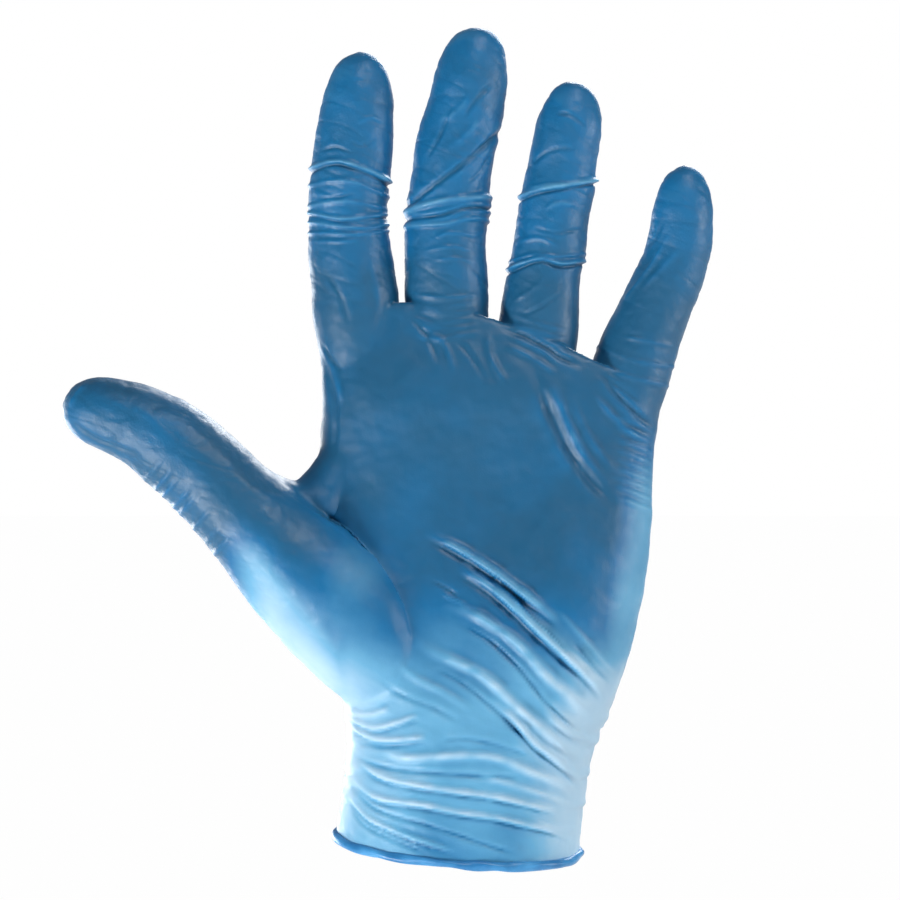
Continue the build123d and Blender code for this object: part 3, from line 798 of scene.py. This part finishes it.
# Painted light and shade: the right of the wrist is painted paler and its lower left deeper
wrist += 0.2 * soft_step(12, 30, x) * soft_step(50, 28, z)
wrist -= 0.2 * soft_step(-16, -30, x) * soft_step(24, 8, z)
# Painted reflection: a pale band along the hand's outer edge stands for the white surroundings caught by the
# satin film at a grazing angle
outer_edge_reflection = 0.6 * soft_step(41, 52, x + 0.24 * np.maximum(88 - z, 0)) * soft_step(124, 84, z)
stalls = 0.2 * soft_step(146, 172, z) + 0.06 * soft_step(-50, -90, x)
heel = 0.16 * np.exp(-(((x + 28) / 16) ** 2) - ((z - 80) / 16) ** 2)
ball += 0.6 * edge_of_ball
# This one number holds the film's stretch together with painted light and shade
stretch_and_light = np.maximum.reduce([edge_of_ball, ball, wrist, outer_edge_reflection, stalls]) + uneven + heel
stretch_and_light += FOLD_PAINTED_LIGHT * np.clip(fold_heights, -TINT_LIMIT, TINT_LIMIT)
stretch_and_light = np.clip(stretch_and_light, 0, 1)
attribute = hand.data.attributes.new("stretch_and_light", "FLOAT", "POINT")
attribute.data.foreach_set("value", stretch_and_light.astype(np.float32))
attribute = hand.data.attributes.new("film_normal", "FLOAT_VECTOR", "POINT")
attribute.data.foreach_set("vector", normals.astype(np.float32).ravel())

# %% [markdown]
# ## From one skin to the pieces of film
# The faces of each piece are chosen by their place and separated. Solidify then gives each piece its real
# wall of 0.12 mm, inwards. The normals of the uncut skin are kept as custom normals, so that light passes
# over a cut as if it were not there.

# %% Separate the pieces
FILM = 0.12


def lift_off(chosen, name):
    """Separates the chosen faces of the skin into a piece of their own."""
    pick(hand)
    bpy.context.tool_settings.mesh_select_mode = (False, False, True)
    hand.data.polygons.foreach_set("select", chosen)
    bpy.ops.object.mode_set(mode="EDIT")
    bpy.ops.mesh.separate(type="SELECTED")
    bpy.ops.object.mode_set(mode="OBJECT")
    piece = next(thing for thing in bpy.context.selected_objects if thing != hand)
    piece.name = name
    piece.data.name = name
    return piece


pieces = {}
middles = face_middles(hand)
pieces["cuff_film"] = lift_off(middles[:, 2] < CUFF_TOP, "cuff_film")
middles = face_middles(hand)
pieces["thumb_tip_film"] = lift_off(middles[:, 0] < THUMB_MIDDLE, "thumb_tip_film")
middles = face_middles(hand)
pieces["thumb_film"] = lift_off(middles[:, 0] < THUMB_SIDE, "thumb_film")
for number, name in enumerate(FINGERS):
    for part, word in ((2, "tip"), (1, "middle"), (0, "root")):
        middles = face_middles(hand)
        own = finger_of(middles) == number
        chosen = own & (beyond(middles, *finger_cuts[name][part]) > 0)
        pieces[f"{name}_{word}_film"] = lift_off(chosen, f"{name}_{word}_film")
middles = face_middles(hand)
pieces["palm_back_film"] = lift_off(middles[:, 1] > PALM_HALVES, "palm_back_film")
hand.name = "palm_front_film"
pieces["palm_front_film"] = hand
for piece in pieces.values():
    print(piece.name, len(piece.data.polygons), "faces")

# %% [markdown]
# ## The rolled edge
# At the end of the line the wet film is rolled up on itself, which makes a cord of nitrile round the
# opening that stops tears and helps to pull the glove on. It follows the edge of the cuff's film, so it
# is made from that edge: the open edge's points are read from a copy, a curve with a round section is
# laid through them, and the roll's turns are pressed into its surface.

# %% The edge of the film becomes a cord
BEAD_RADIUS = 1.25
ROLL_TURNS = 11
ROLL_DEPTH = 0.17
RIM_POINTS = 90  # about so many points are enough for the curve

pick(pieces["cuff_film"])
bpy.ops.object.duplicate()
bead = bpy.context.object
bead.name = "rolled_edge"
bpy.ops.object.mode_set(mode="EDIT")
bpy.ops.mesh.select_all(action="SELECT")
bpy.ops.mesh.region_to_loop()
bpy.ops.object.mode_set(mode="OBJECT")
edge_places = corners(bead)
near_rim = np.abs(beyond(edge_places, RIM_NORMAL * RIM_LIFT, RIM_NORMAL)) < 2.5
picked = np.zeros(len(bead.data.vertices), bool)
bead.data.vertices.foreach_get("select", picked)
order = np.nonzero(picked & near_rim)[0]
order = order[np.argsort(np.arctan2(edge_places[order, 1], edge_places[order, 0]))]
rim_points = edge_places[order]
bpy.data.objects.remove(bead)

curve = bpy.data.curves.new("rolled_edge", "CURVE")
curve.dimensions = "3D"
curve.bevel_depth = 1.0 * MM
curve.bevel_resolution = 10
curve.resolution_u = 4
spline = curve.splines.new("NURBS")
rim_points = rim_points[:: max(1, len(rim_points) // RIM_POINTS)]
spline.points.add(len(rim_points) - 1)
for number, (point, (x, y, z)) in enumerate(zip(spline.points, rim_points)):
    turn = 2 * math.pi * number / len(rim_points)
    point.co = (x * MM, y * MM, (z - 0.4) * MM, 1.0)
    point.radius = BEAD_RADIUS * (1 + 0.10 * math.sin(3 * turn + 1) + 0.07 * math.sin(8 * turn))
spline.use_cyclic_u = True
spline.order_u = 4
bead = bpy.data.objects.new("rolled_edge", curve)
bpy.context.collection.objects.link(bead)
pick(bead)
bpy.ops.object.convert(target="MESH")
bead_places = corners(bead)
around = np.arctan2(bead_places[:, 1], bead_places[:, 0])
bead_normals = outward(bead)
outer = bead_normals[:, 0] * np.cos(around) + bead_normals[:, 1] * np.sin(around)
wound = np.arctan2(bead_normals[:, 2], outer)
groove = np.cos(2 * wound + ROLL_TURNS * around + 0.9 * np.sin(5 * around))
bead_places += bead_normals * (ROLL_DEPTH * groove)[:, None]
set_corners(bead, bead_places)
print("rolled edge", len(bead.data.vertices), "vertices")

# %% Walls and normals
def give_wall(piece):
    """Adds the film's wall inwards and keeps the uncut skin's normals."""
    apply_modifier(piece, "SOLIDIFY", thickness=FILM * MM, offset=-1.0, use_rim=True, use_even_offset=False)
    mesh = piece.data
    kept = np.empty(len(mesh.vertices) * 3)
    mesh.attributes["film_normal"].data.foreach_get("vector", kept)
    kept = kept.reshape(-1, 3)
    loops = np.empty(len(mesh.loops), int)
    mesh.loops.foreach_get("vertex_index", loops)
    counts = np.empty(len(mesh.polygons), int)
    mesh.polygons.foreach_get("loop_total", counts)
    face_normals = np.empty(len(mesh.polygons) * 3)
    mesh.polygons.foreach_get("normal", face_normals)
    face_normals = np.repeat(face_normals.reshape(-1, 3), counts, axis=0)
    corner_normals = kept[loops]
    facing = np.einsum("ij,ij->i", corner_normals, face_normals)
    custom = np.where(facing[:, None] > 0, corner_normals, -corner_normals)
    rim = np.abs(facing) < 0.35
    custom[rim] = face_normals[rim]
    mesh.polygons.foreach_set("use_smooth", np.ones(len(mesh.polygons), bool))
    mesh.normals_split_custom_set(custom)
    mesh.update()


for piece in pieces.values():
    give_wall(piece)
pick(bead)
bpy.ops.object.shade_smooth()
print("film", sum(len(piece.data.polygons) * 2 for piece in pieces.values()), "triangles")

# %% [markdown]
# ## Nitrile
# The film is satin rather than shiny: a fine grain from the former breaks up the light. Its blue is in
# the rubber, so colour changes with how far it is stretched, and the same number paints light and shade
# into the colour. The material reads that number from the skin, adds blotches and a grain on Object
# coordinates, and lets a little light into the thin film.

# %% Helpers for materials
class Finish:
    """A material under construction: nodes are added in the order in which they feed each other."""

    def __init__(self, name):
        self.material = bpy.data.materials.new(name)
        self.material.use_nodes = True
        self.tree = self.material.node_tree
        self.shader = self.tree.nodes["Principled BSDF"]
        self.coordinates = self.add("ShaderNodeTexCoord").outputs["Object"]

    def add(self, kind, **settings):
        """Adds a node with these settings."""
        node = self.tree.nodes.new(kind)
        for key, value in settings.items():
            setattr(node, key, value)
        return node

    def feed(self, source, target):
        """Links an output to an input."""
        self.tree.links.new(source, target)

    def noise(self, scale, detail=2.0, stretch=(1, 1, 1)):
        """Noise at a scale per metre, optionally stretched."""
        mapping = self.add("ShaderNodeMapping")
        mapping.inputs["Scale"].default_value = stretch
        self.feed(self.coordinates, mapping.inputs["Vector"])
        node = self.add("ShaderNodeTexNoise")
        node.inputs["Scale"].default_value = scale
        node.inputs["Detail"].default_value = detail
        self.feed(mapping.outputs["Vector"], node.inputs["Vector"])
        return node.outputs["Fac"]

    def between(self, source, low, high, from_low=0.0, from_high=1.0):
        """The source's range turned into another."""
        node = self.add("ShaderNodeMapRange")
        names = ("From Min", "From Max", "To Min", "To Max")
        for name, value in zip(names, (from_low, from_high, low, high)):
            node.inputs[name].default_value = value
        self.feed(source, node.inputs["Value"])
        return node.outputs["Result"]

    def ramp(self, source, stops):
        """Colours over the source's range."""
        node = self.add("ShaderNodeValToRGB")
        elements = node.color_ramp.elements
        elements[0].position, elements[-1].position = stops[0][0], stops[-1][0]
        elements[0].color, elements[-1].color = (*stops[0][1], 1), (*stops[-1][1], 1)
        for place, colour in stops[1:-1]:
            elements.new(place).color = (*colour, 1)
        self.feed(source, node.inputs["Fac"])
        return node.outputs["Color"]

    def plus(self, one, two, share):
        """One source plus a share of another."""
        node = self.add("ShaderNodeMath", operation="MULTIPLY_ADD")
        self.feed(two, node.inputs[0])
        node.inputs[1].default_value = share
        self.feed(one, node.inputs[2])
        return node.outputs["Value"]

    def bump(self, source, strength, depth, below=None):
        """Bump of a depth in metres, over another bump."""
        node = self.add("ShaderNodeBump")
        node.inputs["Strength"].default_value = strength
        node.inputs["Distance"].default_value = depth
        self.feed(source, node.inputs["Height"])
        if below:
            self.feed(below, node.inputs["Normal"])
        return node.outputs["Normal"]


def linear(red, green, blue):
    """An sRGB colour of 0 to 255 as linear values."""
    shares = (red / 255, green / 255, blue / 255)
    return tuple(c / 12.92 if c <= 0.04045 else ((c + 0.055) / 1.055) ** 2.4 for c in shares)


# %% The film, the grip texture of the tips and the rolled edge
# Painted light and shade: the ramp runs from DEEP, the painted shade of the upper palm, to PALEST, the
# painted glow of the low left lamp; between them the blue also follows the film's stretch
DEEP = linear(20, 90, 130)
BLUE = linear(4, 106, 160)
PALE = linear(100, 170, 212)
PALEST = linear(176, 212, 238)
ROLL_DEEP = linear(24, 108, 170)
ROLL_PALE = linear(72, 156, 214)


def nitrile(name, grain_depth, grain_scale):
    """Satin film whose blue turns pale where it is stretched and where light is painted, and deep where
    shade is painted.
    """
    finish = Finish(name)
    # The attribute holds the film's stretch together with painted light and shade
    stretch = finish.add("ShaderNodeAttribute", attribute_name="stretch_and_light").outputs["Fac"]
    blotches = finish.between(finish.noise(55.0, 4.0), -0.06, 0.06, 0.3, 0.7)
    shade = finish.plus(stretch, blotches, 1.0)
    colour = finish.ramp(shade, [(0.0, DEEP), (0.22, BLUE), (0.62, PALE), (1.0, PALEST)])
    finish.feed(colour, finish.shader.inputs["Base Color"])
    gloss = finish.between(finish.noise(240.0, 3.0), 0.40, 0.52, 0.3, 0.7)
    finish.feed(gloss, finish.shader.inputs["Roughness"])
    hair = finish.noise(900.0, 3.0, (1.0, 1.0, 0.25))
    grain = finish.noise(grain_scale, 3.0)
    soft = finish.bump(hair, 0.5, 0.00006)
    finish.feed(finish.bump(grain, 0.7, grain_depth, soft), finish.shader.inputs["Normal"])
    finish.shader.inputs["Specular IOR Level"].default_value = 0.45
    finish.shader.inputs["Subsurface Weight"].default_value = 0.12
    finish.shader.inputs["Subsurface Radius"].default_value = (0.3, 0.6, 1.0)
    finish.shader.inputs["Subsurface Scale"].default_value = 0.0015
    finish.shader.inputs["Sheen Weight"].default_value = 0.05
    finish.shader.inputs["Sheen Roughness"].default_value = 0.4
    return finish.material


def rolled_nitrile():
    """Many layers of film, so the blue is deeper and the surface smoother."""
    finish = Finish("rolled_nitrile")
    colour = finish.ramp(finish.noise(120.0, 4.0), [(0.3, ROLL_DEEP), (0.7, ROLL_PALE)])
    finish.feed(colour, finish.shader.inputs["Base Color"])
    finish.feed(finish.between(finish.noise(300.0), 0.28, 0.42), finish.shader.inputs["Roughness"])
    grooves = finish.noise(500.0, 3.0, (1.0, 1.0, 2.5))
    finish.feed(finish.bump(grooves, 0.6, 0.00015), finish.shader.inputs["Normal"])
    finish.shader.inputs["Specular IOR Level"].default_value = 0.5
    return finish.material


film_finish = nitrile("nitrile_film", 0.00005, 2600.0)
tip_finish = nitrile("textured_nitrile", 0.00012, 1900.0)
for name, piece in pieces.items():
    piece.data.materials.clear()
    piece.data.materials.append(tip_finish if name.endswith("tip_film") else film_finish)
bead.data.materials.clear()
bead.data.materials.append(rolled_nitrile())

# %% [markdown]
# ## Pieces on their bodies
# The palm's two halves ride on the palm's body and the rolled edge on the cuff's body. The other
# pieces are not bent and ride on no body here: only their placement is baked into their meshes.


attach(pieces["palm_front_film"], "palm")
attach(pieces["palm_back_film"], "palm")
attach(bead, "cuff")
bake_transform(pieces["cuff_film"])
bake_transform(pieces["thumb_film"])
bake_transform(pieces["thumb_tip_film"])


def bend(name, word):
    """Bakes the transform of a finger's piece into its mesh; nothing is bent."""
    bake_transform(pieces[f"{name}_{word}_film"])


for name in FINGERS:
    bend(name, "root")
    bend(name, "middle")
    bend(name, "tip")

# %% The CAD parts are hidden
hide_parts("cuff")
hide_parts("hand_shell")
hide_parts("thumb_stall_lower", "thumb_ball")
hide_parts("thumb_stall_tip")
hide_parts("rolled_bead")
for name in FINGERS:
    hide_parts(f"{name}_stall_lower")
    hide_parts(f"{name}_stall_middle")
    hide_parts(f"{name}_stall_tip")

# %% [markdown]
# ## Floor, light and camera
# The glove hangs free, as on a hand, high over a plain pale floor. One soft lamp from low on the left
# gives the film part of its satin gradient, and the rest is painted into its colour; a weaker lamp from
# the right draws the far edges and one from above lights the fingertips. Two more light the back, and a
# pale world fills the rest. The world is plain white only to the camera.

# %% Floor
FLOOR_DROP = 0.45
WHITE_SHARE = 0.99


def backdrop_white(material, share):
    """Shows the camera a share of plain white and leaves the rest to the light."""
    tree = material.node_tree
    shader = tree.nodes["Principled BSDF"]
    paths = tree.nodes.new("ShaderNodeLightPath")
    glow = tree.nodes.new("ShaderNodeEmission")
    mix = tree.nodes.new("ShaderNodeMixShader")
    either = tree.nodes.new("ShaderNodeMath")
    either.operation = "MAXIMUM"
    every = tree.nodes.new("ShaderNodeMath")
    every.operation = "MAXIMUM"
    scale = tree.nodes.new("ShaderNodeMath")
    scale.operation = "MULTIPLY"
    scale.inputs[1].default_value = share
    tree.links.new(paths.outputs["Is Camera Ray"], either.inputs[0])
    tree.links.new(paths.outputs["Is Glossy Ray"], either.inputs[1])
    tree.links.new(either.outputs[0], every.inputs[0])
    tree.links.new(paths.outputs["Is Transmission Ray"], every.inputs[1])
    tree.links.new(every.outputs[0], scale.inputs[0])
    tree.links.new(scale.outputs[0], mix.inputs[0])
    tree.links.new(shader.outputs[0], mix.inputs[1])
    tree.links.new(glow.outputs[0], mix.inputs[2])
    tree.links.new(mix.outputs[0], tree.nodes["Material Output"].inputs["Surface"])


bpy.ops.object.select_all(action="DESELECT")
bpy.ops.mesh.primitive_plane_add(size=60, location=(0, 0, -FLOOR_DROP))
floor = bpy.context.object
floor.name = "floor"
floor_paint = bpy.data.materials.new("pale_floor")
floor_paint.use_nodes = True
floor_paint.node_tree.nodes["Principled BSDF"].inputs["Base Color"].default_value = (0.9, 0.9, 0.9, 1)
floor_paint.node_tree.nodes["Principled BSDF"].inputs["Roughness"].default_value = 0.8
backdrop_white(floor_paint, WHITE_SHARE)
floor.data.materials.append(floor_paint)

# %% World and lamps
WORLD_LIGHT = 0.2

world = bpy.data.worlds.new("studio")
bpy.context.scene.world = world
world.use_nodes = True
tree = world.node_tree
tree.nodes["Background"].inputs["Color"].default_value = (1, 1, 1, 1)
tree.nodes["Background"].inputs["Strength"].default_value = WORLD_LIGHT
white = tree.nodes.new("ShaderNodeBackground")
white.inputs["Color"].default_value = (1, 1, 1, 1)
paths = tree.nodes.new("ShaderNodeLightPath")
mix = tree.nodes.new("ShaderNodeMixShader")
tree.links.new(paths.outputs["Is Camera Ray"], mix.inputs[0])
tree.links.new(tree.nodes["Background"].outputs[0], mix.inputs[1])
tree.links.new(white.outputs[0], mix.inputs[2])
tree.links.new(mix.outputs[0], tree.nodes["World Output"].inputs["Surface"])


def lamp(name, place, aim, size, power):
    """Square soft lamp at a place, aimed at a point."""
    data = bpy.data.lights.new(name, "AREA")
    data.size = size
    data.energy = power
    thing = bpy.data.objects.new(name, data)
    bpy.context.collection.objects.link(thing)
    thing.location = place
    thing.rotation_euler = (Vector(aim) - Vector(place)).to_track_quat("-Z", "Y").to_euler()
    return thing


lamp("key_low_left", (-0.62, -0.55, -0.32), (0.0, 0.0, 0.05), 0.3, 7.2)
lamp("fill_right", (0.9, -0.25, 0.15), (0.0, 0.0, 0.09), 0.3, 3.4)
lamp("top_front", (0.3, -0.55, 0.8), (0.0, 0.0, 0.12), 0.3, 3.4)
lamp("top_back", (0.25, 0.75, 0.6), (0.0, 0.0, 0.10), 0.4, 6.0)
lamp("low_back", (-0.55, 0.75, 0.0), (0.0, 0.0, 0.10), 0.4, 4.5)

# %% Camera, level with the middle of the hand
CAMERA_DISTANCE = 1.0
VIEW_WIDTH = 0.2467

camera = bpy.data.objects.new("camera", bpy.data.cameras.new("camera"))
bpy.context.collection.objects.link(camera)
camera.location = (-0.00216, -CAMERA_DISTANCE, 0.108)
camera.rotation_euler = (math.radians(90), 0, 0)
camera.data.lens = camera.data.sensor_width * CAMERA_DISTANCE / VIEW_WIDTH
bpy.context.scene.camera = camera
bpy.context.scene.view_settings.view_transform = "Standard"
